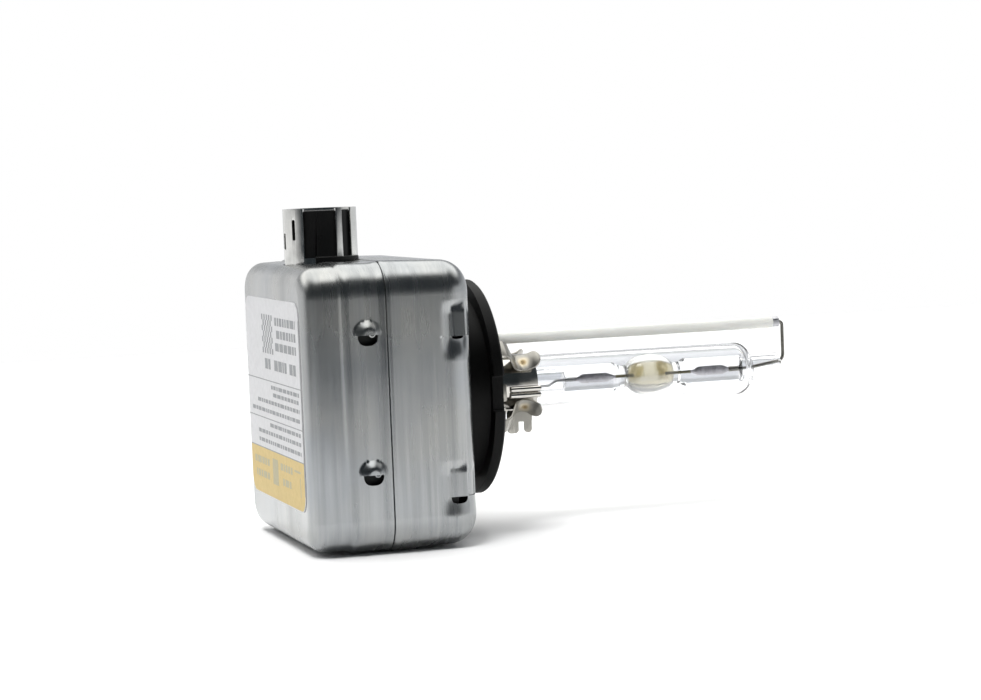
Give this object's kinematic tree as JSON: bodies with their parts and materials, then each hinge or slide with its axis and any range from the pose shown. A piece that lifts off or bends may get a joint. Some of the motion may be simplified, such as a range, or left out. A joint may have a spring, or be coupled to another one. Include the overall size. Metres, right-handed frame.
{
  "type": "headlight bulb",
  "caption": "Gas-discharge headlight bulb: square sheet-steel igniter box with a plug collar, round black base flange and a slim double-glass burner beside a white ceramic tube.",
  "frame": {"origin": "on the burner's axis, in the plane of the base flange's front face", "axes": "+X along the burner to its tip, +Z towards the plug collar with the casing standing on its -Z side, +Y the side away from the collar's window"},
  "size_m": [0.0793, 0.042, 0.0476],
  "materials": {
    "casing_steel": "satin tinned sheet",
    "label_paper": "matt printed film",
    "collar_steel": "bright",
    "socket_plastic": "moulded",
    "pin_metal": "tinned",
    "flange_plastic": "moulded",
    "bracket_steel": "spring strip",
    "band_steel": "polished strip",
    "quartz": "clear",
    "molybdenum": "foil",
    "tungsten": "dark",
    "halide_salt": "waxy",
    "nickel_wire": "drawn",
    "alumina": "matt",
    "sleeve_metal": "matt",
    "tray_plastic": "moulded",
    "board_laminate": "coated",
    "ferrite": "sintered",
    "former_plastic": "moulded",
    "enamelled_copper": "enamelled",
    "gap_ceramic": "matt",
    "gap_caps": "plated",
    "capacitor_case": "dipped",
    "resistor_body": "coated",
    "terminal_metal": "plain",
    "potting": "cast resin"
  },
  "bodies": {
    "root": {"rear_cover": "casing_steel", "front_cover": "casing_steel", "rating_label": "label_paper", "connector_shield": "collar_steel", "connector_housing": "socket_plastic", "connector_pins": "pin_metal", "base_flange": "flange_plastic", "mounting_bracket": "bracket_steel", "burner_band": "band_steel", "outer_bulb": "quartz", "arc_tube": "quartz", "rear_foil": "molybdenum", "front_foil": "molybdenum", "rear_lead_wire": "molybdenum", "rear_electrode": "tungsten", "front_electrode": "tungsten", "halide_deposit": "halide_salt", "return_wire": "nickel_wire", "ceramic_tube": "alumina", "wire_sleeve": "sleeve_metal", "igniter_tray": "tray_plastic", "circuit_board": "board_laminate", "transformer_core": "ferrite", "transformer_bobbin": "former_plastic", "secondary_winding": "enamelled_copper", "primary_winding": "enamelled_copper", "spark_gap_body": "gap_ceramic", "spark_gap_caps": "gap_caps", "ignition_capacitor": "capacitor_case", "discharge_resistor": "resistor_body", "high_voltage_terminal": "terminal_metal", "return_terminal": "terminal_metal", "potting_layer": "potting"}
  },
  "joints": []
}
